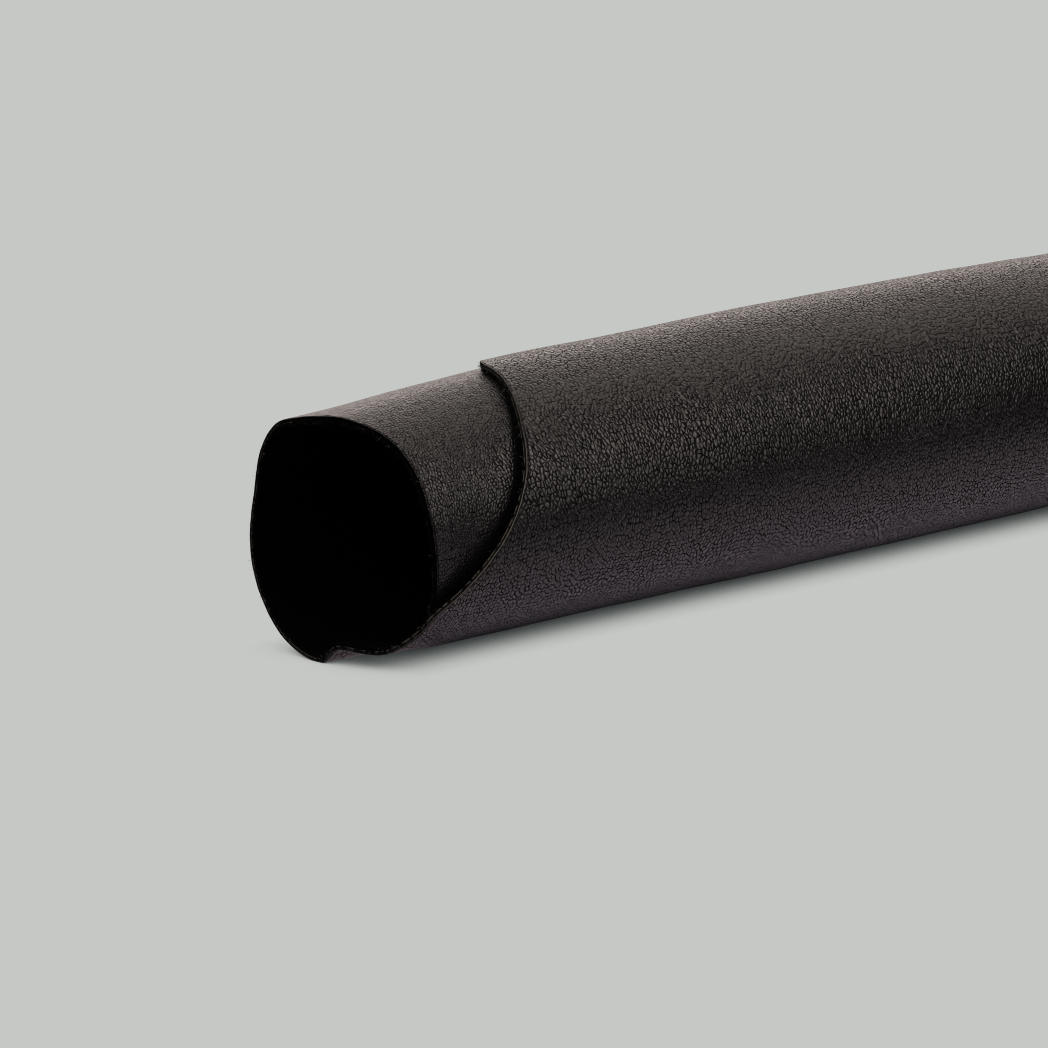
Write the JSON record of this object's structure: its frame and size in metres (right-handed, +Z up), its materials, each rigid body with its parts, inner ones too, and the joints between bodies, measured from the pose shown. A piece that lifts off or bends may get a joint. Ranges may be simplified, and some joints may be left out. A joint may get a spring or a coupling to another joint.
{
  "type": "rolled leather hide",
  "caption": "Black pebble-grained leather hide, one sheet wound into a loose hollow tube that lies on its side, with its outer edge cut back in a curve.",
  "frame": {"origin": "middle of the roll's box, on the surface that it lies on", "axes": "+X along the roll, away from the end whose layers show; +Z up; the outer edge of the sheet crosses the front side, towards -Y"},
  "size_m": [0.6014, 0.0778, 0.0764],
  "materials": {
    "leather": "semi-matte black pebble grain outside, fuzzy black suede inside"
  },
  "bodies": {
    "root": {"hide": "leather"}
  },
  "joints": []
}
